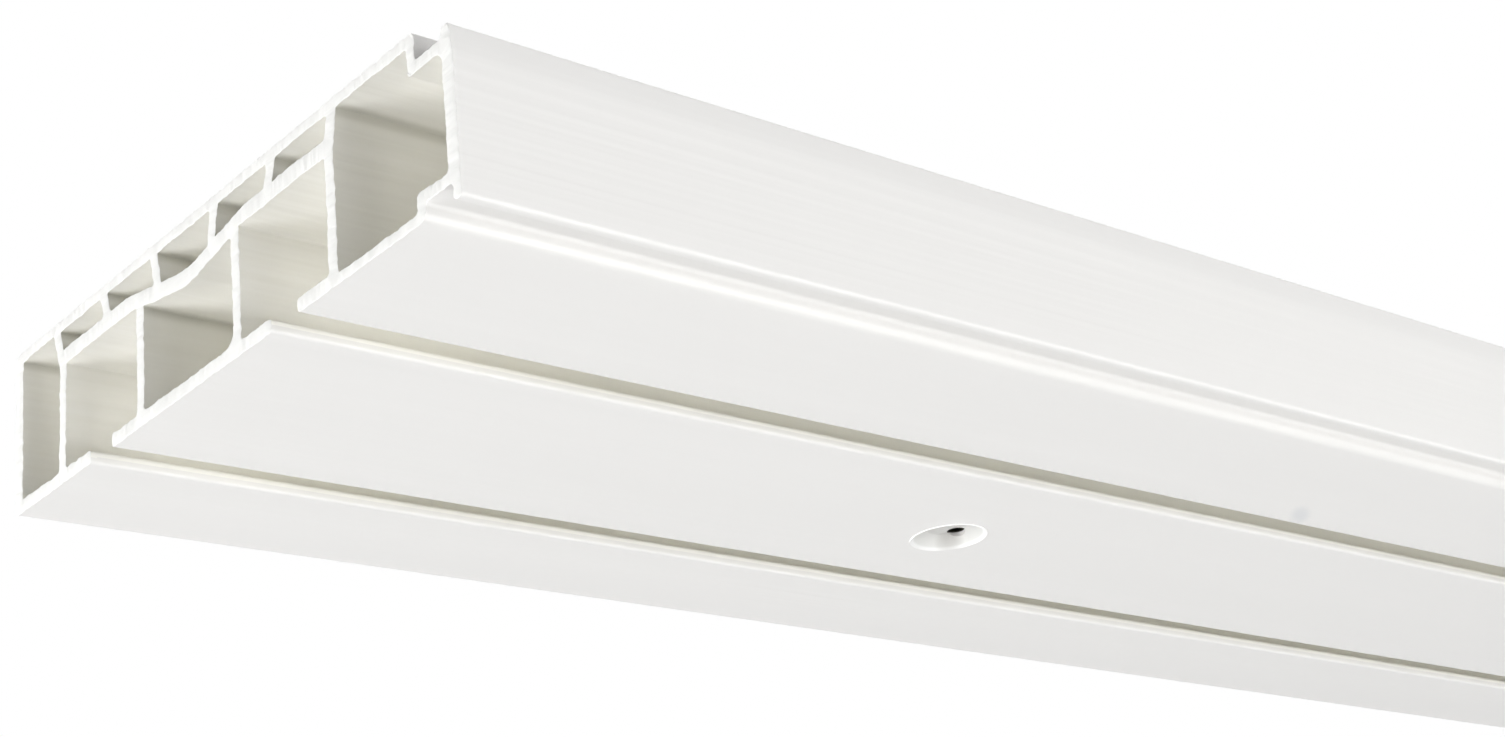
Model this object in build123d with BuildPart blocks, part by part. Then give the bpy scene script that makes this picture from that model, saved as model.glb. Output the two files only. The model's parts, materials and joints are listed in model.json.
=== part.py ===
from build123d import *
import os

# Double curtain track: one hollow plastic extrusion that is screwed up to a ceiling.
# Two slotted channels on its underside carry the gliders of two curtains.
# X runs along the track, +Z is up and -Y is the front, towards the room.
# The origin is the middle of the ceiling face. Sizes are in millimetres.

# Overall size
length = 1200.0
depth = 80.0
height = 17.4

# Thicknesses
outer_wall = 1.6
inner_wall = 1.4
bottom_skin = 1.35
front_skin = 0.95
ceiling_skin = 1.1
web = 1.65
rib = 1.4
groove_wall = 1.15

# Hollows, from the rear wall to the front
rear_chamber = 8.3
channel_width = 14.8
slot_width = 4.4
middle_chamber = 16.6

# Row of cells between the web and the ceiling skin
cell_count = 5
cell_height = 2.2
rib_lean = 0.7

# The web sags over the middle chamber
sag = 2.0
sag_half_width = 11.0
sag_round = 12.0
sag_clearance = 3.0

# Grooves behind the front face, which hold a clip-on cover strip
top_groove_width = 3.8
top_groove_depth = 2.7
top_lip_drop = 1.7
bottom_groove_width = 3.9
bottom_groove_depth = 1.55
bottom_lip = 1.1

# The top of the front face leans back
front_bend = 4.4
front_lean = 0.35
front_bend_round = 12.0

# Rounded edges; the upper rear corner of each hollow is crisp
corner_round = 0.4
crisp_round = 0.15
middle_round = 1.4
lip_round = 0.35
rear_round = 0.8
bead_round = 0.9
top_lip_round = 0.6

# Countersunk screw holes, in one row along the middle chamber
hole_count = 4
hole_inset = 97.0
hole_from_rear = 34.4
hole_diameter = 4.0
countersink_diameter = 8.6
countersink_angle = 120.0

# Upright walls, as distances from the rear face
rear_channel_wall = outer_wall + rear_chamber
rear_channel = rear_channel_wall + inner_wall
middle = rear_channel + channel_width + inner_wall
front_channel = middle + middle_chamber + inner_wall
front_channel_wall = front_channel + channel_width
front_chamber = front_channel_wall + inner_wall
front_wall = depth - outer_wall

# Levels, as heights above the underside
ceiling = height - ceiling_skin
web_top = ceiling - cell_height
channel_ceiling = web_top - web

# The row of cells starts over the rear channel wall and ends over the front one
sag_centre = middle + middle_chamber / 2
first_rib = rear_channel_wall
last_rib = front_channel_wall + inner_wall / 2
rib_pitch = (last_rib - first_rib) / cell_count


def web_height(y):
    """Height of the web's upper face at a distance y from the rear."""
    return web_top - sag * max(0.0, 1.0 - abs(y - sag_centre) / sag_half_width)


def rib_shift(y):
    """How far the top of a rib leans away from the sagging middle."""
    return -rib_lean if y < sag_centre else rib_lean


def cut_hollow(corners, radii):
    """Cuts one hollow with rounded corners out of the section."""
    with BuildLine() as edge:
        FilletPolyline(*corners, radius=radii, close=True)
    make_face(edge.edges(), mode=Mode.SUBTRACT)


# The section's own axes run from the rear to the front and from the underside up
section = Plane(origin=(0, depth / 2, -height), x_dir=(0, -1, 0), z_dir=(-1, 0, 0))

with BuildPart() as track:
    with BuildSketch(section) as profile:
        # Outer outline, with a groove at the top and the bottom of the front face
        top_groove = front_wall - top_groove_width
        top_groove_floor = height - top_groove_depth
        bottom_groove_front = depth - bottom_lip
        bottom_groove = bottom_groove_front - bottom_groove_width
        outline = [
            ((0, 0), rear_round),
            ((bottom_groove, 0), bead_round),
            ((bottom_groove, bottom_groove_depth), corner_round),
            ((bottom_groove_front, bottom_groove_depth), corner_round),
            ((bottom_groove_front, 0), lip_round),
            ((depth, 0), lip_round),
            ((depth, height - front_bend), front_bend_round),
            ((depth - front_lean, height - top_lip_drop), lip_round),
            ((front_wall, height - top_lip_drop), top_lip_round),
            ((front_wall, top_groove_floor), lip_round),
            ((top_groove, top_groove_floor), corner_round),
            ((top_groove, height), corner_round),
            ((0, height), rear_round),
        ]
        with BuildLine():
            FilletPolyline(*[point for point, _ in outline], radius=[r for _, r in outline], close=True)
        make_face()

        # Rear chamber, whose front wall leans back above the web
        rear_hollow = [
            (outer_wall, bottom_skin),
            (rear_channel_wall, bottom_skin),
            (rear_channel_wall, channel_ceiling),
            (first_rib - rib / 2 + rib_shift(first_rib), ceiling),
            (outer_wall, ceiling),
        ]
        cut_hollow(rear_hollow, [*[corner_round] * 4, crisp_round])

        # Two channels, each open through a slot in the underside
        for channel in (rear_channel, front_channel):
            slot = channel + (channel_width - slot_width) / 2
            channel_hollow = [
                (slot, -bottom_skin),
                (slot, bottom_skin),
                (channel, bottom_skin),
                (channel, channel_ceiling),
                (channel + channel_width, channel_ceiling),
                (channel + channel_width, bottom_skin),
                (slot + slot_width, bottom_skin),
                (slot + slot_width, -bottom_skin),
            ]
            cut_hollow(channel_hollow, [*[corner_round] * 3, crisp_round, *[corner_round] * 4])
            underside = profile.vertices().group_by(Axis.Y)[0]
            mouth = underside.filter_by_position(Axis.X, slot - lip_round, slot + slot_width + lip_round)
            fillet(mouth, radius=lip_round)

        # Middle chamber, under the sagging web
        middle_front = middle + middle_chamber
        middle_hollow = [
            (middle, bottom_skin),
            (middle_front, bottom_skin),
            (middle_front, web_height(middle_front) - web),
            (sag_centre, web_height(sag_centre) - web),
            (middle, web_height(middle) - web),
        ]
        cut_hollow(middle_hollow, [corner_round, middle_round, corner_round, sag_round, crisp_round])

        # Front chamber, stepped round the two grooves
        bottom_step = bottom_groove - groove_wall
        bottom_shelf = bottom_groove_depth + groove_wall
        top_step = top_groove - groove_wall
        top_shelf = top_groove_floor - groove_wall
        front_hollow = [
            (front_chamber, front_skin),
            (bottom_step, front_skin),
            (bottom_step, bottom_shelf),
            (front_wall, bottom_shelf),
            (front_wall, top_shelf),
            (top_step, top_shelf),
            (top_step, ceiling),
            (last_rib + rib / 2 + rib_shift(last_rib), ceiling),
            (front_chamber, channel_ceiling),
        ]
        cut_hollow(front_hollow, [*[corner_round] * 7, crisp_round, corner_round])

        # Cells over the web, between leaning ribs; a cell's floor bends with the web, clear of its ribs
        web_breaks = [sag_centre - sag_half_width, sag_centre, sag_centre + sag_half_width]
        for index in range(cell_count):
            rear_rib = first_rib + index * rib_pitch
            front_rib = rear_rib + rib_pitch
            rear_foot = rear_rib + rib / 2
            front_foot = front_rib - rib / 2
            breaks = [y for y in web_breaks if rear_foot + sag_clearance < y < front_foot - sag_clearance]
            floor = [rear_foot, *breaks, front_foot]
            cell = [(y, web_height(y)) for y in floor]
            cell.append((front_foot + rib_shift(front_rib), ceiling))
            cell.append((rear_foot + rib_shift(rear_rib), ceiling))
            cell_rounds = [crisp_round, *[sag_round for _ in breaks], *[corner_round] * 2, crisp_round]
            cut_hollow(cell, cell_rounds)
    extrude(amount=length / 2, both=True)

    # Screw holes, countersunk from below and drilled through to the ceiling face
    underside_plane = Plane(origin=(0, 0, -height), x_dir=(1, 0, 0), z_dir=(0, 0, -1))
    hole_pitch = (length - 2 * hole_inset) / (hole_count - 1)
    with Locations(underside_plane):
        with Locations((0, hole_from_rear - depth / 2)):
            with GridLocations(hole_pitch, 0, hole_count, 1):
                CounterSinkHole(
                    radius=hole_diameter / 2,
                    counter_sink_radius=countersink_diameter / 2,
                    depth=height,
                    counter_sink_angle=countersink_angle,
                )

track.part.label = "track"
os.makedirs("parts", exist_ok=True)
export_step(track.part, "parts/track.step")
print("section area mm2:", round(profile.sketch.area, 1), "volume cm3:", round(track.part.volume / 1000, 1))
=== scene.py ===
# %% [markdown]
# # Double curtain track
# The track is one hollow extrusion of white PVC that is screwed up to a ceiling.
# Two slots in its underside let the gliders of two curtains run in the channels above them.
# The solid model comes in first, as a fixed frame, and everything here is dressed around it.
# Its box is kept straight away, and the places below are measured from it.

# %% Load the frame
import bpy
import json
from math import pi, radians, tan
from mathutils import Matrix, Vector
from mathutils.kdtree import KDTree


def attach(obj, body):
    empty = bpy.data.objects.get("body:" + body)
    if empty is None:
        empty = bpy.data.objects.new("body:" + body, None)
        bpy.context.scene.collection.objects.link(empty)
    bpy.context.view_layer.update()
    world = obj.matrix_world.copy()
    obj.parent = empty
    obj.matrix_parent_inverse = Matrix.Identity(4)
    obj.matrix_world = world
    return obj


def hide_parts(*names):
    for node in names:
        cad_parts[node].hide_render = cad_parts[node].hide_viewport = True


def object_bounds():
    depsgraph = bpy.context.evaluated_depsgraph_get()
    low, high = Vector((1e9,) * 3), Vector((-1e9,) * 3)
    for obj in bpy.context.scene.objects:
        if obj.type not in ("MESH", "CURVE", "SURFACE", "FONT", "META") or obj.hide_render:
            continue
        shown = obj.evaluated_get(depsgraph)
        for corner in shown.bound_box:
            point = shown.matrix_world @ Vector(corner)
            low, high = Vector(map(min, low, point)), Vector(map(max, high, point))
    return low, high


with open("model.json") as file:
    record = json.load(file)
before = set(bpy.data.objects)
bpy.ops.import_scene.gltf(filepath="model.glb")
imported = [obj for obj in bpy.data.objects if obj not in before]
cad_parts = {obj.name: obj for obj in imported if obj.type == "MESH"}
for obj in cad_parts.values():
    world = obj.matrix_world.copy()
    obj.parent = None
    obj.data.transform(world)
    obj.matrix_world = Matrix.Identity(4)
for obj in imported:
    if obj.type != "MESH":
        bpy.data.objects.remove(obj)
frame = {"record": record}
cad_low, cad_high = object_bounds()
mm = 0.001
length, depth, height = (high - low for high, low in zip(cad_high, cad_low))
print("track, mm:", [round(side / mm, 2) for side in (length, depth, height)])

# %% [markdown]
# ## Camera
# The photograph looks up at the cut end of the track from below and in front.
# A camera can be placed by eye, but a wide view close to the object shows every error of place.
# So the place and direction are those of a pinhole camera that was fitted to the long edges and the end
# walls. The lens follows from the focal length in pixels of a picture 1505 pixels wide.

# %% Camera
picture_width = 1505
focal_pixels = 2489.0
sensor = 36.0
visible_end = cad_low.x
camera_place = Vector((visible_end - 100.5 * mm, -182.0 * mm, -105.8 * mm))
view_forward = Vector((0.6215, 0.6847, 0.3808)).normalized()
view_up = Vector((-0.172, -0.355, 0.919))

camera_data = bpy.data.cameras.new("camera")
camera_data.sensor_width = sensor
camera_data.lens = focal_pixels / picture_width * sensor
camera_data.clip_start = 0.01
camera = bpy.data.objects.new("camera", camera_data)
view_right = view_forward.cross(view_up).normalized()
camera_turn = Matrix((view_right, view_right.cross(view_forward), -view_forward)).transposed()
camera.matrix_world = Matrix.Translation(camera_place) @ camera_turn.to_4x4()
bpy.context.scene.collection.objects.link(camera)
bpy.context.scene.camera = camera
print("lens, mm:", round(camera_data.lens, 2))

# %% [markdown]
# ## One helper for nodes
# Materials and Geometry Nodes are both trees of nodes.
# One small function adds any node, sets its properties, and fills its inputs with values or links.
# Colours are written as sRGB hex values, as a paint chart gives them, and turned to the linear values
# that the renderer works in.

# %% Node and colour helpers
def add_node(tree, kind, inputs=None, **settings):
    """Adds one node to a tree. An input takes a value, a socket, or a list of sockets to join."""
    node = tree.nodes.new(kind)
    for name, value in settings.items():
        setattr(node, name, value)
    for key, value in (inputs or {}).items():
        socket = node.inputs[key]
        sources = value if isinstance(value, list) else [value]
        for source in sources:
            if isinstance(source, bpy.types.NodeSocket):
                tree.links.new(source, socket)
            else:
                socket.default_value = source
    return node


def linear(hex_colour):
    """Turns an sRGB hex value into a linear RGBA colour."""
    channels = [int(hex_colour[i : i + 2], 16) / 255 for i in (1, 3, 5)]
    return tuple(c / 12.92 if c <= 0.04045 else ((c + 0.055) / 1.055) ** 2.4 for c in channels) + (1.0,)


print("middle grey, linear:", [round(channel, 3) for channel in linear("#808080")])

# %% [markdown]
# ## Extruded PVC
# White PVC comes out of the die with a satin skin. The die leaves faint lines along the length, and the
# skin is a little cloudy. The outside is drawn through cooled sizing plates, which smooth it.
# Inside the chambers nothing touches the skin, so the lines stay clearer. The inside also gets a paler,
# creamier copy of the plastic: painted light that brightens the shaded chambers. That tone grows with every
# bounce of light between the walls and turns the chambers beige.
# The lines are a few hundredths of a millimetre deep, so they are bump and tone, not geometry.
# The sharpest corners of each closed chamber are painted darker: a painted shade in the creases. That shade
# follows the distance from the corner, which is stored on the finished mesh further down.

# %% Materials from a few shared parts
pvc_ior = 1.53


def new_material(name):
    """An empty material with its output, its shader and its Object coordinates."""
    material = bpy.data.materials.new(name)
    material.use_nodes = True
    tree = material.node_tree
    tree.nodes.clear()
    shader = add_node(tree, "ShaderNodeBsdfPrincipled", {"IOR": pvc_ior})
    add_node(tree, "ShaderNodeOutputMaterial", {"Surface": shader.outputs["BSDF"]})
    place = add_node(tree, "ShaderNodeTexCoord").outputs["Object"]
    return material, tree, shader, place


def noise(tree, place, sizes, detail):
    """Noise with its own size along X, Y and Z, in millimetres."""
    scale = tuple(1 / (size * mm) for size in sizes)
    mapped = add_node(tree, "ShaderNodeMapping", {"Vector": place, "Scale": scale})
    values = {"Vector": mapped.outputs["Vector"], "Scale": 1.0, "Detail": detail}
    return add_node(tree, "ShaderNodeTexNoise", values).outputs["Fac"]


def tones(tree, value, stops):
    """A colour ramp from (position, sRGB hex) stops."""
    ramp = add_node(tree, "ShaderNodeValToRGB", {"Fac": value})
    elements = ramp.color_ramp.elements
    elements.remove(elements[1])
    for index, (position, colour) in enumerate(stops):
        element = elements.new(position) if index else elements[0]
        element.position = position
        element.color = linear(colour)
    return ramp.outputs["Color"]


print("refractive index of PVC:", pvc_ior)

# %% Extruded PVC, outside and inside
die_lines = (400.0, 0.7, 0.7)
line_depth = 0.05
clouds = (60.0, 12.0, 12.0)
smoothest, roughest = 0.36, 0.44
# Painted shade: the crisp creases of the closed chambers are darkened towards this tone.
crease_shade_reach = 1.2
painted_crease_shade = "#DFDED6"


def extruded_pvc(name, dark, light, line_share, line_strength):
    """Satin PVC in tones between two colours, cloudy, with a share of lines along the track and painted shade
    in creases.
    """
    material, tree, shader, place = new_material(name)
    lines = noise(tree, place, die_lines, detail=2.0)
    cloudy = noise(tree, place, clouds, detail=3.0)
    streaks = add_node(tree, "ShaderNodeMix", {"Factor": line_share, "A": cloudy, "B": lines}).outputs[0]
    gloss = add_node(tree, "ShaderNodeMapRange", {"Value": streaks, "To Min": smoothest, "To Max": roughest})
    relief = add_node(
        tree, "ShaderNodeBump", {"Height": lines, "Strength": line_strength, "Distance": line_depth * mm}
    )
    skin = tones(tree, streaks, [(0.3, dark), (0.7, light)])
    # Painted shade: the skin darkens towards the crisp creases.
    from_crease = add_node(tree, "ShaderNodeAttribute", attribute_name="crease_distance").outputs["Fac"]
    crease_shade_mask = add_node(tree, "ShaderNodeMapRange", {
        "Value": from_crease, "From Min": 0.0, "From Max": crease_shade_reach * mm, "To Min": 1.0, "To Max": 0.0,
    }, interpolation_type="SMOOTHSTEP").outputs["Result"]
    crease_shaded_skin = add_node(
        tree, "ShaderNodeMix", {"Factor": crease_shade_mask, "A": skin, "B": linear(painted_crease_shade)}, data_type="RGBA"
    )
    tree.links.new(crease_shaded_skin.outputs["Result"], shader.inputs["Base Color"])
    tree.links.new(gloss.outputs["Result"], shader.inputs["Roughness"])
    tree.links.new(relief.outputs["Normal"], shader.inputs["Normal"])
    print("material:", name)
    return material


outer_pvc = extruded_pvc("extruded_white_pvc", "#EEEDEB", "#F0EFED", line_share=0.2, line_strength=0.03)
# The inner copy is painted paler, so that the shaded chambers come out brighter.
painted_paler_inner_pvc = extruded_pvc("inner_white_pvc_painted_paler", "#F6F5EF", "#FDFCF8", line_share=0.5, line_strength=0.18)

# %% [markdown]
# ## Smudge
# A faint grey smudge lies on the underside beside the front slot, 132 mm from the cut end. A patch of its own
# could carry it, but a smudge has no thickness, so it is a soft oval in the nodes of the outer skin.
# Object coordinates are moved, turned and scaled until the oval is a ball of radius one.

# %% Smudge on the outer skin
smudge_place = Vector((visible_end + 132.0 * mm, cad_high.y - 57.6 * mm, cad_low.z))
smudge_reach = Vector((4.5, 1.6, 1.6))
smudge_turn = radians(38)
smudge_core = 0.2
smudge_tone = "#E1E2E3"
tree = outer_pvc.node_tree
shader = tree.nodes["Principled BSDF"]
skin = shader.inputs["Base Color"].links[0].from_socket
oval = add_node(tree, "ShaderNodeMapping", {
    "Vector": tree.nodes["Texture Coordinate"].outputs["Object"], "Location": smudge_place,
    "Rotation": (0.0, 0.0, smudge_turn), "Scale": smudge_reach * mm,
}, vector_type="TEXTURE").outputs["Vector"]
from_smudge = add_node(tree, "ShaderNodeVectorMath", {0: oval}, operation="LENGTH").outputs["Value"]
smudge = add_node(tree, "ShaderNodeMapRange", {
    "Value": from_smudge, "From Min": smudge_core, "From Max": 1.0, "To Min": 1.0, "To Max": 0.0,
}, interpolation_type="SMOOTHSTEP").outputs["Result"]
smudged = add_node(
    tree, "ShaderNodeMix", {"Factor": smudge, "A": skin, "B": linear(smudge_tone)}, data_type="RGBA"
)
tree.links.new(smudged.outputs["Result"], shader.inputs["Base Color"])
print("smudge, mm:", [round(side, 1) for side in smudge_reach])

# %% [markdown]
# ## Sawn and drilled PVC
# Where the track was sawn the satin skin is gone. The cut is matt and a shade whiter, because the saw bruises
# the plastic, and fine marks of the teeth cross it, about 0.25 mm apart.
# A countersink rubs more than it cuts. Its rim is bruised white, and that white is partly a painted highlight
# on the raised rim. The cone is painted greyer towards the bore: painted shade, deeper in the hole. On one
# side of the cone a soft patch is greyer still. Both tones follow distances, one from the hole's axis and one
# from the middle of the patch, which the screw holes store on the mesh further down.

# %% Sawn PVC
tooth_marks = (0.25, 3.0, 0.25)
tooth_depth = 0.05
sawn_pvc, tree, shader, place = new_material("sawn_white_pvc")
marks = noise(tree, place, tooth_marks, detail=2.0)
relief = add_node(tree, "ShaderNodeBump", {"Height": marks, "Strength": 0.3, "Distance": tooth_depth * mm})
tree.links.new(tones(tree, marks, [(0.0, "#F0F0ED"), (1.0, "#F6F6F4")]), shader.inputs["Base Color"])
tree.links.new(relief.outputs["Normal"], shader.inputs["Normal"])
shader.inputs["Roughness"].default_value = 0.75
print("material:", sawn_pvc.name)

# %% Drilled PVC
bore_radius = 2.0
sink_radius = 4.3
# A soft patch on one side of the cone is greyer, darkest at its middle.
patch_core = 0.5
patch_reach = 2.0
patch_tone = "#B0AEAA"
drilled_pvc, tree, shader, _ = new_material("drilled_white_pvc")
from_axis = add_node(tree, "ShaderNodeAttribute", attribute_name="hole_distance").outputs["Fac"]
across_cone = add_node(tree, "ShaderNodeMapRange", {
    "Value": from_axis, "From Min": bore_radius * mm, "From Max": sink_radius * mm,
}).outputs["Result"]
# Painted shade and highlight: the cone darkens towards the bore, and the rim's white is partly bruise, partly
# a painted highlight.
bruise_and_shade_tones = tones(tree, across_cone, [(0.0, "#D6D5D2"), (0.82, "#E8E8E5"), (0.93, "#FDFDFC")])
from_patch = add_node(tree, "ShaderNodeAttribute", attribute_name="smear_distance").outputs["Fac"]
grey_patch = add_node(tree, "ShaderNodeMapRange", {
    "Value": from_patch, "From Min": patch_core * mm, "From Max": patch_reach * mm,
    "To Min": 1.0, "To Max": 0.0,
}).outputs["Result"]
patched_cone = add_node(tree, "ShaderNodeMix", {
    "Factor": grey_patch, "A": bruise_and_shade_tones, "B": linear(patch_tone),
}, data_type="RGBA")
tree.links.new(patched_cone.outputs["Result"], shader.inputs["Base Color"])
shader.inputs["Roughness"].default_value = 0.7
print("material:", drilled_pvc.name)

# %% [markdown]
# ## Section of the track
# An extrusion is its section, pushed out to a length. The section is drawn as loops of straight edges: one
# for the outside, which runs up through the two slots and round their channels, and one for each hollow that
# is closed. Only the corners are listed, from the rear face and from the underside, in millimetres.
# Each corner carries its own rounding, and a share of the slight waviness that walls have when hot plastic
# leaves the die. The outside was sized between plates, so its share is nought.
# The upper rear corner of each hollow is crisp, and a painted shade along it draws the dark lines in the
# chambers. The top of the front face leans back a little, so the light falls off along it.

# %% Sizes of the section
outer_wall = 1.6
inner_wall = 1.4
bottom_skin = 1.35
front_skin = 0.95
ceiling_skin = 1.1
web = 1.65
rib = 1.4
groove_wall = 1.15
rear_chamber = 8.3
channel_width = 14.8
slot_width = 4.4
middle_chamber = 16.6
cell_count = 5
cell_height = 2.2
rib_lean = 0.7
sag = 2.0
sag_half_width = 11.0
top_groove_width = 3.8
top_groove_depth = 2.7
top_lip_drop = 1.7
front_bend = 4.4
front_lean = 0.35
front_bend_round = 12.0
bottom_groove_width = 3.9
bottom_groove_depth = 1.55
bottom_lip = 1.1
corner_round = 0.4
crisp_round = 0.15
middle_round = 1.4
front_top_round = 1.0
lip_round = 0.35
rear_round = 0.8
bead_round = 0.9
top_lip_round = 0.6
sag_round = 12.0
sag_clearance = 3.0

track_depth = depth / mm
track_height = height / mm
rear_channel_wall = outer_wall + rear_chamber
rear_channel = rear_channel_wall + inner_wall
middle = rear_channel + channel_width + inner_wall
front_channel = middle + middle_chamber + inner_wall
front_channel_wall = front_channel + channel_width
front_chamber = front_channel_wall + inner_wall
front_wall = track_depth - outer_wall
ceiling = track_height - ceiling_skin
web_top = ceiling - cell_height
channel_ceiling = web_top - web
sag_centre = middle + middle_chamber / 2
first_rib = rear_channel_wall
last_rib = front_channel_wall + inner_wall / 2
rib_pitch = (last_rib - first_rib) / cell_count
print("rib pitch, mm:", round(rib_pitch, 2))

# %% Outside of the section
outside_share = 0.0
inside_share = 1.0


def channel_loop(channel):
    """The way up through a slot, round its channel and down again."""
    slot = channel + (channel_width - slot_width) / 2
    far_side = channel + channel_width
    return [
        (slot, 0, lip_round, outside_share),
        (slot, bottom_skin, corner_round, inside_share),
        (channel, bottom_skin, corner_round, inside_share),
        (channel, channel_ceiling, crisp_round, inside_share),
        (far_side, channel_ceiling, corner_round, inside_share),
        (far_side, bottom_skin, corner_round, inside_share),
        (slot + slot_width, bottom_skin, corner_round, inside_share),
        (slot + slot_width, 0, lip_round, outside_share),
    ]


top_groove = front_wall - top_groove_width
top_groove_floor = track_height - top_groove_depth
bottom_groove_front = track_depth - bottom_lip
bottom_groove = bottom_groove_front - bottom_groove_width
outside = [
    (0, 0, rear_round, outside_share),
    *channel_loop(rear_channel),
    *channel_loop(front_channel),
    (bottom_groove, 0, bead_round, outside_share),
    (bottom_groove, bottom_groove_depth, corner_round, outside_share),
    (bottom_groove_front, bottom_groove_depth, corner_round, outside_share),
    (bottom_groove_front, 0, lip_round, outside_share),
    (track_depth, 0, lip_round, outside_share),
    (track_depth, track_height - front_bend, front_bend_round, outside_share),
    (track_depth - front_lean, track_height - top_lip_drop, lip_round, outside_share),
    (front_wall, track_height - top_lip_drop, top_lip_round, outside_share),
    (front_wall, top_groove_floor, lip_round, outside_share),
    (top_groove, top_groove_floor, corner_round, outside_share),
    (top_groove, track_height, corner_round, outside_share),
    (0, track_height, rear_round, outside_share),
]
print("corners of the outside:", len(outside))


# %% Closed chambers of the section
def web_height(y):
    """Height of the web's upper face, which sags over the middle chamber."""
    return web_top - sag * max(0.0, 1.0 - abs(y - sag_centre) / sag_half_width)


def rib_shift(y):
    """How far the top of a rib leans away from the sagging middle."""
    return -rib_lean if y < sag_centre else rib_lean


def chamber(corners, rounds):
    """A closed hollow, with one rounding for each corner."""
    return [(y, z, radius, inside_share) for (y, z), radius in zip(corners, rounds)]


rear_hollow = chamber([
    (outer_wall, bottom_skin),
    (rear_channel_wall, bottom_skin),
    (rear_channel_wall, channel_ceiling),
    (first_rib - rib / 2 + rib_shift(first_rib), ceiling),
    (outer_wall, ceiling),
], [*[corner_round] * 4, crisp_round])
middle_front = middle + middle_chamber
middle_hollow = chamber([
    (middle, bottom_skin),
    (middle_front, bottom_skin),
    (middle_front, web_height(middle_front) - web),
    (sag_centre, web_height(sag_centre) - web),
    (middle, web_height(middle) - web),
], [corner_round, middle_round, corner_round, sag_round, crisp_round])
bottom_step = bottom_groove - groove_wall
bottom_shelf = bottom_groove_depth + groove_wall
top_step = top_groove - groove_wall
top_shelf = top_groove_floor - groove_wall
front_hollow = chamber([
    (front_chamber, front_skin),
    (bottom_step, front_skin),
    (bottom_step, bottom_shelf),
    (front_wall, bottom_shelf),
    (front_wall, top_shelf),
    (top_step, top_shelf),
    (top_step, ceiling),
    (last_rib + rib / 2 + rib_shift(last_rib), ceiling),
    (front_chamber, channel_ceiling),
], [*[corner_round] * 4, front_top_round, *[corner_round] * 2, crisp_round, corner_round])
print("corners of the chambers:", [len(hollow) for hollow in (rear_hollow, middle_hollow, front_hollow)])

# %% Row of cells over the web
cells = []
web_bends = [sag_centre - sag_half_width, sag_centre, sag_centre + sag_half_width]
for index in range(cell_count):
    rear_rib = first_rib + index * rib_pitch
    front_rib = rear_rib + rib_pitch
    rear_foot = rear_rib + rib / 2
    front_foot = front_rib - rib / 2
    bends = [y for y in web_bends if rear_foot + sag_clearance < y < front_foot - sag_clearance]
    cell_corners = [(y, web_height(y)) for y in [rear_foot, *bends, front_foot]]
    cell_corners.append((front_foot + rib_shift(front_rib), ceiling))
    cell_corners.append((rear_foot + rib_shift(rear_rib), ceiling))
    cell_rounds = [crisp_round, *[sag_round] * len(bends), *[corner_round] * 2, crisp_round]
    cells.append(chamber(cell_corners, cell_rounds))
loops = [outside, rear_hollow, middle_hollow, front_hollow, *cells]
print("loops:", len(loops), "corners:", sum(len(loop) for loop in loops))

# %% Profile mesh
# The profile lies flat in XY while it is filled and pushed out, with the part's Y as its X and Z as its Y.
points, edges, rounds, shares = [], [], [], []
for loop in loops:
    start = len(points)
    for index, (y, z, radius, share) in enumerate(loop):
        points.append((cad_high.y - y * mm, cad_low.z + z * mm, 0.0))
        edges.append((start + index, start + (index + 1) % len(loop)))
        rounds.append(radius * mm)
        shares.append(share)
profile = bpy.data.meshes.new("track_profile")
profile.from_pydata(points, edges, [])
for name, values in (("corner_round", rounds), ("wave_share", shares)):
    profile.attributes.new(name, "FLOAT", "POINT").data.foreach_set("value", values)
track = bpy.data.objects.new("pvc_track", profile)
bpy.context.scene.collection.objects.link(track)
print("profile:", len(points), "points")

# %% [markdown]
# ## Push out the section
# A die pushes out one section for ever, and Geometry Nodes can say just that: round the corners, space the
# points evenly, let the walls wave a little, fill the section and extrude it.
# The ends are sawn, so the last 0.8 mm of each has rings of its own. There the edge is pushed about by fine
# noise, which gives the chipped edge that a hacksaw leaves, and drawn in a little, as by a deburring knife.
# The cut faces get the sawn material. A face belongs to a chamber when the nearest point of the section does.

# %% Node tree for the extrusion
def new_tree(name, sockets):
    """A Geometry Nodes tree with named inputs, and the identifiers to set them by."""
    tree = bpy.data.node_groups.new(name, "GeometryNodeTree")
    tree.interface.new_socket("Geometry", in_out="INPUT", socket_type="NodeSocketGeometry")
    tree.interface.new_socket("Geometry", in_out="OUTPUT", socket_type="NodeSocketGeometry")
    keys = {}
    for label, kind in sockets.items():
        socket = tree.interface.new_socket(label, in_out="INPUT", socket_type="NodeSocket" + kind)
        keys[label] = socket.identifier
    return tree, keys, add_node(tree, "NodeGroupInput").outputs


extrusion, extrusion_keys, given = new_tree("extrude_track", {
    "Length": "Float", "Point spacing": "Float", "Arc points": "Int",
    "Wave": "Float", "Wave density": "Float",
    "Burr": "Float", "Burr density": "Float", "Burr depth": "Float", "Deburr": "Float",
    "Outer skin": "Material", "Inner skin": "Material", "Cut": "Material",
})
print("inputs of the extrusion:", len(extrusion_keys))

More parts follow.
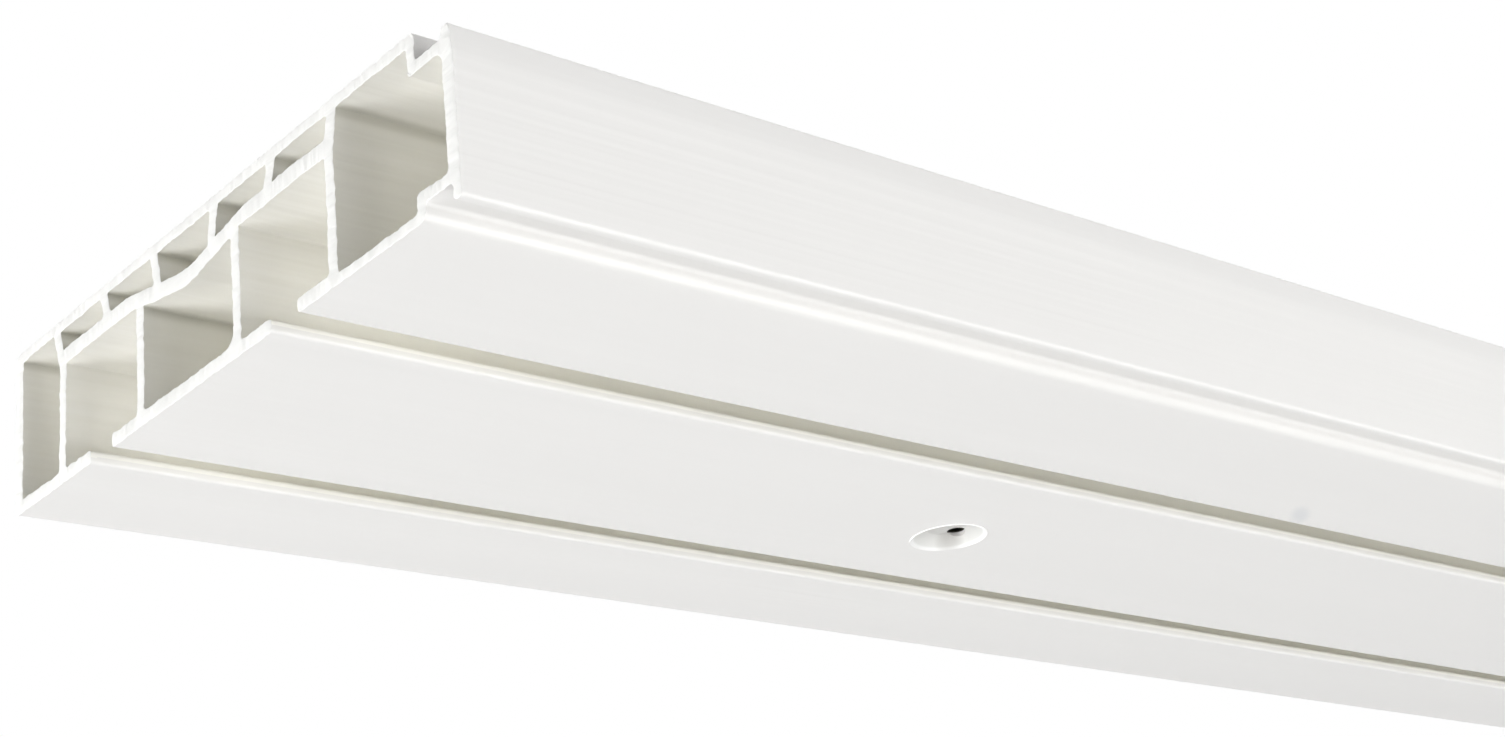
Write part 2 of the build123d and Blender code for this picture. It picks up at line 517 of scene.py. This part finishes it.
# %% Round, wave and fill the section
noise_middle = (0.5, 0.5, 0.5)
curve = add_node(extrusion, "GeometryNodeMeshToCurve", {"Mesh": given["Geometry"]})
rounding = add_node(
    extrusion, "GeometryNodeInputNamedAttribute", {"Name": "corner_round"}, data_type="FLOAT"
)
rounded = add_node(extrusion, "GeometryNodeFilletCurve", {
    "Curve": curve.outputs["Curve"],
    "Count": given["Arc points"],
    "Radius": rounding.outputs["Attribute"],
}, mode="POLY")
spaced = add_node(
    extrusion, "GeometryNodeResampleCurve",
    {"Curve": rounded.outputs["Curve"], "Length": given["Point spacing"]}, mode="LENGTH"
)
spot = add_node(extrusion, "GeometryNodeInputPosition").outputs["Position"]
waves = add_node(
    extrusion, "ShaderNodeTexNoise", {"Vector": spot, "Scale": given["Wave density"], "Detail": 1.0}
)
wave_way = add_node(
    extrusion, "ShaderNodeVectorMath", {0: waves.outputs["Color"], 1: noise_middle}, operation="SUBTRACT"
)
wave_share = add_node(
    extrusion, "GeometryNodeInputNamedAttribute", {"Name": "wave_share"}, data_type="FLOAT"
).outputs["Attribute"]
wave_reach = add_node(extrusion, "ShaderNodeMath", {0: given["Wave"], 1: wave_share}, operation="MULTIPLY")
wave_shift = add_node(
    extrusion, "ShaderNodeVectorMath",
    {0: wave_way.outputs["Vector"], "Scale": wave_reach.outputs["Value"]}, operation="SCALE"
)
waved = add_node(
    extrusion, "GeometryNodeSetPosition",
    {"Geometry": spaced.outputs["Curve"], "Offset": wave_shift.outputs["Vector"]}
)
filled = add_node(extrusion, "GeometryNodeFillCurve", {"Curve": waved.outputs["Geometry"]}, mode="TRIANGLES")
print("section nodes:", len(extrusion.nodes))

# %% Extrude it, with close rings at the ends
near_share = 0.15
weld_distance = 0.001
half = add_node(extrusion, "ShaderNodeMath", {0: given["Length"], 1: 0.5}, operation="MULTIPLY").outputs[0]
back = add_node(extrusion, "ShaderNodeMath", {0: half, 1: -1.0}, operation="MULTIPLY").outputs[0]
start_place = add_node(extrusion, "ShaderNodeCombineXYZ", {"Z": back})
first_cap = add_node(
    extrusion, "GeometryNodeTransform",
    {"Geometry": filled.outputs["Mesh"], "Translation": start_place.outputs["Vector"]}
).outputs["Geometry"]
near_ring = add_node(
    extrusion, "ShaderNodeMath", {0: given["Burr depth"], 1: near_share}, operation="MULTIPLY"
).outputs[0]
far_ring = add_node(
    extrusion, "ShaderNodeMath", {0: given["Burr depth"], 1: near_ring}, operation="SUBTRACT"
).outputs[0]
long_run = add_node(
    extrusion, "ShaderNodeMath",
    {0: given["Burr depth"], 1: -2.0, 2: given["Length"]}, operation="MULTIPLY_ADD"
).outputs[0]
body, top = first_cap, True
for step in (near_ring, far_ring, long_run, far_ring, near_ring):
    move = add_node(extrusion, "ShaderNodeCombineXYZ", {"Z": step})
    pushed = add_node(extrusion, "GeometryNodeExtrudeMesh", {
        "Mesh": body, "Selection": top, "Offset": move.outputs["Vector"],
        "Offset Scale": 1.0, "Individual": False,
    }, mode="FACES")
    body, top = pushed.outputs["Mesh"], pushed.outputs["Top"]
closing = add_node(extrusion, "GeometryNodeFlipFaces", {"Mesh": first_cap})
joined = add_node(extrusion, "GeometryNodeJoinGeometry", {0: [body, closing.outputs["Mesh"]]})
welded = add_node(
    extrusion, "GeometryNodeMergeByDistance", {"Geometry": joined.outputs[0], "Distance": weld_distance * mm}
)
print("nodes with the rings:", len(extrusion.nodes))

# %% Saw the ends
along_track = add_node(extrusion, "ShaderNodeSeparateXYZ", {"Vector": spot}).outputs["Z"]
from_middle = add_node(extrusion, "ShaderNodeMath", {0: along_track}, operation="ABSOLUTE").outputs[0]
inner = add_node(
    extrusion, "ShaderNodeMath", {0: half, 1: given["Burr depth"]}, operation="SUBTRACT"
).outputs[0]
nearness = add_node(extrusion, "ShaderNodeMapRange", {
    "Value": from_middle, "From Min": inner, "From Max": half,
}, interpolation_type="SMOOTHSTEP").outputs["Result"]
chips = add_node(
    extrusion, "ShaderNodeTexNoise", {"Vector": spot, "Scale": given["Burr density"], "Detail": 3.0}
)
chip_way = add_node(
    extrusion, "ShaderNodeVectorMath", {0: chips.outputs["Color"], 1: noise_middle}, operation="SUBTRACT"
)
chip_reach = add_node(extrusion, "ShaderNodeMath", {0: given["Burr"], 1: nearness}, operation="MULTIPLY")
chip_shift = add_node(
    extrusion, "ShaderNodeVectorMath",
    {0: chip_way.outputs["Vector"], "Scale": chip_reach.outputs["Value"]}, operation="SCALE"
)
last_ring = add_node(extrusion, "ShaderNodeMath", {0: half, 1: near_ring}, operation="SUBTRACT").outputs[0]
drawn_in = add_node(extrusion, "ShaderNodeMapRange", {
    "Value": from_middle, "From Min": last_ring, "From Max": half, "To Max": given["Deburr"],
}).outputs["Result"]
facing = add_node(extrusion, "GeometryNodeInputNormal").outputs["Normal"]
outward = add_node(
    extrusion, "ShaderNodeVectorMath", {0: facing, "Scale": drawn_in}, operation="SCALE"
)
dressed = add_node(
    extrusion, "ShaderNodeVectorMath",
    {0: chip_shift.outputs["Vector"], 1: outward.outputs["Vector"]}, operation="SUBTRACT"
)
sawn = add_node(
    extrusion, "GeometryNodeSetPosition",
    {"Geometry": welded.outputs["Geometry"], "Offset": dressed.outputs["Vector"]}
)
print("nodes with the sawn ends:", len(extrusion.nodes))

# %% Tell the chambers from the outside
halfway_share = (outside_share + inside_share) / 2
wire = add_node(extrusion, "GeometryNodeCurveToMesh", {"Curve": waved.outputs["Geometry"]}).outputs["Mesh"]
flat_spot = add_node(extrusion, "ShaderNodeVectorMath", {0: spot, 1: (1.0, 1.0, 0.0)}, operation="MULTIPLY")
nearest = add_node(extrusion, "GeometryNodeSampleNearest", {
    "Geometry": wire, "Sample Position": flat_spot.outputs["Vector"],
}).outputs["Index"]
nearest_share = add_node(extrusion, "GeometryNodeSampleIndex", {
    "Geometry": wire, "Value": wave_share, "Index": nearest,
}).outputs["Value"]
is_inner = add_node(
    extrusion, "FunctionNodeCompare", {"A": nearest_share, "B": halfway_share},
    data_type="FLOAT", operation="GREATER_THAN"
)
skinned = add_node(extrusion, "GeometryNodeSetMaterial", {
    "Geometry": sawn.outputs["Geometry"], "Material": given["Outer skin"],
})
lined = add_node(extrusion, "GeometryNodeSetMaterial", {
    "Geometry": skinned.outputs["Geometry"], "Selection": is_inner.outputs["Result"],
    "Material": given["Inner skin"],
})
print("nodes with the skins:", len(extrusion.nodes))

# %% Stand the track up and mark its cuts
cut_facing = 0.7
stood = add_node(
    extrusion, "GeometryNodeTransform",
    {"Geometry": lined.outputs["Geometry"], "Rotation": (pi / 2, 0.0, pi / 2)}
)
whole = add_node(extrusion, "GeometryNodeRealizeInstances", {"Geometry": stood.outputs["Geometry"]})
facing_x = add_node(extrusion, "ShaderNodeSeparateXYZ", {"Vector": facing}).outputs["X"]
facing_end = add_node(extrusion, "ShaderNodeMath", {0: facing_x}, operation="ABSOLUTE").outputs[0]
is_cut = add_node(
    extrusion, "FunctionNodeCompare", {"A": facing_end, "B": cut_facing},
    data_type="FLOAT", operation="GREATER_THAN"
)
finished = add_node(extrusion, "GeometryNodeSetMaterial", {
    "Geometry": whole.outputs["Geometry"], "Selection": is_cut.outputs["Result"], "Material": given["Cut"],
})
add_node(extrusion, "NodeGroupOutput", {"Geometry": finished.outputs["Geometry"]})
print("extrusion nodes:", len(extrusion.nodes))


# %% Extrude the track
def add_modifier(piece, tree, keys, values):
    """Puts a node tree on a piece and sets its named inputs by their identifiers."""
    modifier = piece.modifiers.new(tree.name, "NODES")
    modifier.node_group = tree
    for label, value in values.items():
        modifier[keys[label]] = value


add_modifier(track, extrusion, extrusion_keys, {
    "Length": length,
    "Point spacing": 0.12 * mm,
    "Arc points": 8,
    "Wave": 0.35 * mm,
    "Wave density": 1 / (6.0 * mm),
    "Burr": 0.3 * mm,
    "Burr density": 1 / (0.8 * mm),
    "Burr depth": 0.8 * mm,
    "Deburr": 0.12 * mm,
    "Outer skin": outer_pvc,
    "Inner skin": painted_paler_inner_pvc,
    "Cut": sawn_pvc,
})
print("on the track:", [modifier.name for modifier in track.modifiers])

# %% [markdown]
# ## Screw holes
# The track is fixed by screws through its middle chamber. Each hole is drilled right through and countersunk
# from below. The countersink raises a bruised rim, and a blunt drill has left a flap of skin over most of the
# bore. The holes repeat along one row, so one drill and one rim are made as shapes, set on a line of points,
# and joined to or cut from the track. The flap is what the drill doesn't cut: through the skin the bore is a
# small oval on one side. Each drill is turned further than the last, so no two flaps lie alike.
# The places come from the record's own mounts: an outer pair of holes and an inner pair, evenly spaced.

# %% Places of the screw holes
mounts = {mount["name"]: mount for mount in frame["record"]["mounts"]}
rows = [mounts["screw_holes_outer"], mounts["screw_holes_inner"]]
hole_count = sum(row["dims"]["count"] for row in rows)
row_span = rows[0]["dims"]["spacing_x_mm"] * mm
row_middle = Vector(rows[0]["pos_m"])
hole_pitch = row_span / (hole_count - 1)
first_hole = Vector((row_middle.x - row_span / 2, row_middle.y, cad_low.z))
print("holes:", hole_count, "pitch, mm:", round(hole_pitch / mm, 2))

# %% Node tree for the screw holes
drilling, drilling_keys, given = new_tree("drill_screw_holes", {
    "First hole": "Vector", "Pitch": "Vector", "Count": "Int", "Sides": "Int",
    "Turn": "Float", "Turn step": "Float",
    "Bore radius": "Float", "Bore length": "Float", "Bore place": "Vector",
    "Opening scale": "Vector", "Opening place": "Vector",
    "Sink depth": "Float", "Sink place": "Vector", "Sink top radius": "Float", "Sink radius": "Float",
    "Rim radius": "Float", "Rim thickness": "Float", "Bruise radius": "Float", "Patch place": "Vector",
    "Bruise and shade": "Material", "Smooth angle": "Float",
})
line = add_node(drilling, "GeometryNodeMeshLine", {
    "Count": given["Count"], "Start Location": given["First hole"], "Offset": given["Pitch"],
}, mode="OFFSET")
bore = add_node(drilling, "GeometryNodeMeshCylinder", {
    "Vertices": given["Sides"], "Radius": given["Bore radius"], "Depth": given["Bore length"],
}).outputs["Mesh"]
sink = add_node(drilling, "GeometryNodeMeshCone", {
    "Vertices": given["Sides"], "Radius Top": given["Sink top radius"],
    "Radius Bottom": given["Sink radius"], "Depth": given["Sink depth"],
}).outputs["Mesh"]
tools = [
    {"Geometry": bore, "Translation": given["Bore place"]},
    {"Geometry": bore, "Translation": given["Opening place"], "Scale": given["Opening scale"]},
    {"Geometry": sink, "Translation": given["Sink place"]},
]
placed = [add_node(drilling, "GeometryNodeTransform", tool).outputs["Geometry"] for tool in tools]
drill = add_node(drilling, "GeometryNodeJoinGeometry", {0: placed})
hole_index = add_node(drilling, "GeometryNodeInputIndex").outputs["Index"]
angle = add_node(
    drilling, "ShaderNodeMath", {0: hole_index, 1: given["Turn step"], 2: given["Turn"]},
    operation="MULTIPLY_ADD"
)
drill_turn = add_node(drilling, "ShaderNodeCombineXYZ", {"Z": angle.outputs[0]})
drills = add_node(drilling, "GeometryNodeInstanceOnPoints", {
    "Points": line.outputs["Mesh"], "Instance": drill.outputs[0], "Rotation": drill_turn.outputs["Vector"],
})
all_drills = add_node(drilling, "GeometryNodeRealizeInstances", {"Geometry": drills.outputs["Instances"]})
print("drill nodes:", len(drilling.nodes))

# %% Rims, and the cut itself
bead_sides = 12
rim_line = add_node(drilling, "GeometryNodeCurvePrimitiveCircle", {
    "Resolution": given["Sides"], "Radius": given["Rim radius"],
}, mode="RADIUS")
rim_bead = add_node(drilling, "GeometryNodeCurvePrimitiveCircle", {
    "Resolution": bead_sides, "Radius": given["Rim thickness"],
}, mode="RADIUS")
rim = add_node(drilling, "GeometryNodeCurveToMesh", {
    "Curve": rim_line.outputs["Curve"], "Profile Curve": rim_bead.outputs["Curve"],
})
rims = add_node(drilling, "GeometryNodeInstanceOnPoints", {
    "Points": line.outputs["Mesh"], "Instance": rim.outputs["Mesh"],
})
all_rims = add_node(drilling, "GeometryNodeRealizeInstances", {"Geometry": rims.outputs["Instances"]})
raised = add_node(drilling, "GeometryNodeMeshBoolean", {
    "Mesh 2": [given["Geometry"], all_rims.outputs["Geometry"]],
}, operation="UNION", solver="EXACT")
drilled = add_node(drilling, "GeometryNodeMeshBoolean", {
    "Mesh 1": raised.outputs["Mesh"], "Mesh 2": all_drills.outputs["Geometry"], "Self Intersection": True,
}, operation="DIFFERENCE", solver="EXACT")
smooth = add_node(
    drilling, "GeometryNodeSetShadeSmooth", {"Geometry": drilled.outputs["Mesh"]}, domain="FACE"
)
edge_angle = add_node(drilling, "GeometryNodeInputMeshEdgeAngle").outputs["Unsigned Angle"]
is_sharp = add_node(
    drilling, "FunctionNodeCompare", {"A": edge_angle, "B": given["Smooth angle"]},
    data_type="FLOAT", operation="GREATER_THAN"
)
shaded = add_node(drilling, "GeometryNodeSetShadeSmooth", {
    "Geometry": smooth.outputs["Geometry"], "Selection": is_sharp.outputs["Result"], "Shade Smooth": False,
}, domain="EDGE")
print("nodes with the cut:", len(drilling.nodes))

# %% Bruised plastic and painted shade in the holes
spot = add_node(drilling, "GeometryNodeInputPosition").outputs["Position"]
spot_parts = add_node(drilling, "ShaderNodeSeparateXYZ", {"Vector": spot}).outputs
row_parts = add_node(drilling, "ShaderNodeSeparateXYZ", {"Vector": given["First hole"]}).outputs
below = add_node(drilling, "ShaderNodeCombineXYZ", {
    "X": spot_parts["X"], "Y": spot_parts["Y"], "Z": row_parts["Z"],
}).outputs["Vector"]
back_from_patch = add_node(
    drilling, "ShaderNodeVectorMath", {0: below, 1: given["Patch place"]}, operation="SUBTRACT"
).outputs["Vector"]
marked = shaded.outputs["Geometry"]
distances = {}
for name, measured in (("hole_distance", below), ("smear_distance", back_from_patch)):
    distances[name] = add_node(drilling, "GeometryNodeProximity", {
        "Target": line.outputs["Mesh"], "Source Position": measured,
    }, target_element="POINTS").outputs["Distance"]
    marked = add_node(drilling, "GeometryNodeStoreNamedAttribute", {
        "Geometry": marked, "Name": name, "Value": distances[name],
    }, data_type="FLOAT", domain="POINT").outputs["Geometry"]
in_hole = add_node(
    drilling, "FunctionNodeCompare", {"A": distances["hole_distance"], "B": given["Bruise radius"]},
    data_type="FLOAT", operation="LESS_THAN"
)
whole = add_node(drilling, "GeometryNodeRealizeInstances", {"Geometry": marked})
bruised_and_shaded = add_node(drilling, "GeometryNodeSetMaterial", {
    "Geometry": whole.outputs["Geometry"], "Selection": in_hole.outputs["Result"],
    "Material": given["Bruise and shade"],
})
add_node(drilling, "NodeGroupOutput", {"Geometry": bruised_and_shaded.outputs["Geometry"]})
print("drilling nodes:", len(drilling.nodes))

# %% Drill the track
sink_angle = 120.0
sink_slope = tan(radians(sink_angle / 2))
overrun = 0.4
flap = 0.2
flap_side = radians(-40)
bore_length = 2 * track_height
sink_depth = bottom_skin - flap
rim_thickness = 0.18
opening_radii = Vector((1.05, 1.15))
opening_place = Vector((1.1, 1.4))
patch_place = Vector((2.2, 2.2))
add_modifier(track, drilling, drilling_keys, {
    "First hole": first_hole,
    "Pitch": Vector((hole_pitch, 0.0, 0.0)),
    "Count": hole_count,
    "Sides": 64,
    "Turn": flap_side,
    "Turn step": radians(140),
    "Bore radius": bore_radius * mm,
    "Bore length": bore_length * mm,
    "Bore place": Vector((0.0, 0.0, bottom_skin + overrun + bore_length / 2)) * mm,
    "Opening scale": Vector((*(opening_radii / bore_radius), 2 * bottom_skin / bore_length)),
    "Opening place": Vector((*opening_place, bottom_skin)) * mm,
    "Sink depth": (sink_depth + overrun) * mm,
    "Sink place": Vector((0.0, 0.0, -overrun)) * mm,
    "Sink top radius": (sink_radius - sink_depth * sink_slope) * mm,
    "Sink radius": (sink_radius + overrun * sink_slope) * mm,
    "Rim radius": sink_radius * mm,
    "Rim thickness": rim_thickness * mm,
    "Bruise radius": (sink_radius + rim_thickness) * mm,
    "Patch place": Vector((*patch_place, 0.0)) * mm,
    "Bruise and shade": drilled_pvc,
    "Smooth angle": radians(25),
})
finished_mesh = bpy.data.meshes.new_from_object(track.evaluated_get(bpy.context.evaluated_depsgraph_get()))
track.modifiers.clear()
track.data = finished_mesh
print("track:", len(finished_mesh.polygons), "faces", [m.name for m in finished_mesh.materials])

# %% [markdown]
# ## Painted shade in the creases
# The painted shade in the creases of the closed chambers runs the whole length, so a point's distance from a
# crease is measured across the section. The extrusion could store it, but cutting the holes would mix up what
# is stored before. So it is measured on the finished mesh, where a tree of the crisp corners finds the
# nearest to each point.

# %% Distance from the creases
crisp_corners = [corner for hollow in loops[1:] for corner in hollow if corner[2] == crisp_round]
crease_tree = KDTree(len(crisp_corners))
for index, (y, z, _, _) in enumerate(crisp_corners):
    crease_tree.insert((0.0, cad_high.y - y * mm, cad_low.z + z * mm), index)
crease_tree.balance()
from_crease = [crease_tree.find((0.0, point.co.y, point.co.z))[2] for point in finished_mesh.vertices]
finished_mesh.attributes.new("crease_distance", "FLOAT", "POINT").data.foreach_set("value", from_crease)
print("creases:", len(crisp_corners))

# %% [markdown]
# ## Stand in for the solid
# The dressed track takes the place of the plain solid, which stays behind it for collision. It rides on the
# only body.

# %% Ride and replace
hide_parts("track")
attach(track, "root")
print("stands for the solid:", track.name)

# %% [markdown]
# ## Stage and light
# The track belongs on a ceiling, so the floor is far below it. Only the camera sees the floor, and a little
# glow of its own keeps it pale without sending any light up to the object.
# The photograph looks like one from a white tent that is open towards the cut end. So the world is bright on
# the far side only, and two lamps off the cut end light the chambers. The stronger one stands to the rear:
# its light strikes the unseen side of each chamber and comes back to the walls that the camera sees.
# A level lamp and a low one light the front and the underside. Three more light the far half and the ceiling
# face for other views; two of them have a narrow spread, so they leave the near half alone, and none of the
# three shows in the gloss of the skin.
# Camera, glossy and transmission rays see the world as plain white. That gives the white background, and
# white in the gloss of the skin, but no light that would wash out the chambers.
# Light bounces many times between white walls, so more bounces are traced than usual.

# %% Floor
floor_drop = 2.5
floor_half = 30.0
floor_glow = 0.55
floor_material, _, shader, _ = new_material("matt_pale_floor")
shader.inputs["Base Color"].default_value = linear("#E6E6E4")
shader.inputs["Roughness"].default_value = 0.9
shader.inputs["Emission Color"].default_value = linear("#FFFFFF")
shader.inputs["Emission Strength"].default_value = floor_glow
floor_mesh = bpy.data.meshes.new("floor")
floor_corners = [(-1, -1), (1, -1), (1, 1), (-1, 1)]
floor_points = [(x * floor_half, y * floor_half, -floor_drop) for x, y in floor_corners]
floor_mesh.from_pydata(floor_points, [], [(0, 1, 2, 3)])
floor_mesh.materials.append(floor_material)
floor = bpy.data.objects.new("floor", floor_mesh)
for ray in ("diffuse", "glossy", "transmission", "shadow"):
    setattr(floor, "visible_" + ray, False)
bpy.context.scene.collection.objects.link(floor)
print("floor below the track, m:", floor_drop)

# %% White tent, open at the cut end
tent_strength = 0.18
tent_edge = 0.1
world = bpy.data.worlds.new("white_tent")
world.use_nodes = True
tree = world.node_tree
tree.nodes.clear()
light_path = add_node(tree, "ShaderNodeLightPath").outputs
seen = light_path["Is Camera Ray"]
for ray in ("Is Glossy Ray", "Is Transmission Ray"):
    seen = add_node(tree, "ShaderNodeMath", {0: seen, 1: light_path[ray]}, operation="MAXIMUM").outputs[0]
direction = add_node(tree, "ShaderNodeTexCoord").outputs["Generated"]
to_far_end = add_node(tree, "ShaderNodeSeparateXYZ", {"Vector": direction}).outputs["X"]
level = add_node(tree, "ShaderNodeMapRange", {
    "Value": to_far_end, "From Min": -tent_edge, "From Max": tent_edge, "To Max": tent_strength,
}).outputs["Result"]
tent = add_node(tree, "ShaderNodeBackground", {"Color": linear("#FFFFFF"), "Strength": level})
backdrop = add_node(tree, "ShaderNodeBackground", {"Color": linear("#FFFFFF"), "Strength": 1.0})
mixed = add_node(
    tree, "ShaderNodeMixShader", {0: seen, 1: tent.outputs["Background"], 2: backdrop.outputs["Background"]}
)
add_node(tree, "ShaderNodeOutputWorld", {"Surface": mixed.outputs["Shader"]})
bpy.context.scene.world = world
print("tent strength:", tent_strength)

# %% Lamps
# A lamp has a name, a target, its place from there and its size in metres, its power in watts and its spread
# in degrees. The last value says whether it shows in gloss.
cut_end = Vector((visible_end, 0.0, cad_low.z))
near_part = cut_end + Vector((0.15, 0.0, 0.0))
far_part = Vector((0.35, 0.0, cad_low.z))
track_middle = Vector((0.0, 0.0, 0.0))
lamps = [
    ("end_lamp", cut_end, (-0.75, 0.0, -0.50), 0.6, 3.4, 180, True),
    ("rear_end_lamp", cut_end, (-0.80, 0.60, -0.30), 0.6, 11.5, 180, True),
    ("front_lamp", near_part, (-0.06, -1.10, -0.05), 0.6, 5.4, 180, True),
    ("low_front_lamp", near_part, (0.12, -0.75, -0.65), 0.6, 6.5, 180, True),
    ("far_front_lamp", far_part, (0.30, -0.75, -0.60), 0.4, 0.35, 50, False),
    ("far_rear_lamp", far_part, (0.75, 0.70, 0.20), 0.6, 1.6, 80, False),
    ("top_lamp", track_middle, (0.0, 0.40, 1.50), 1.2, 22.0, 180, False),
]
for name, target, offset, size, power, spread, shine in lamps:
    data = bpy.data.lights.new(name, "AREA")
    data.size = size
    data.energy = power
    data.spread = radians(spread)
    lamp = bpy.data.objects.new(name, data)
    lamp.location = target + Vector(offset)
    lamp.rotation_euler = (-Vector(offset)).to_track_quat("-Z", "Y").to_euler()
    lamp.visible_camera = False
    lamp.visible_glossy = shine
    bpy.context.scene.collection.objects.link(lamp)
    print("lamp:", name, power, "W")

# %% Bounces and view
bpy.context.scene.cycles.diffuse_bounces = 10
bpy.context.scene.cycles.max_bounces = 12
bpy.context.scene.view_settings.view_transform = "Standard"
print("bounces:", bpy.context.scene.cycles.max_bounces)
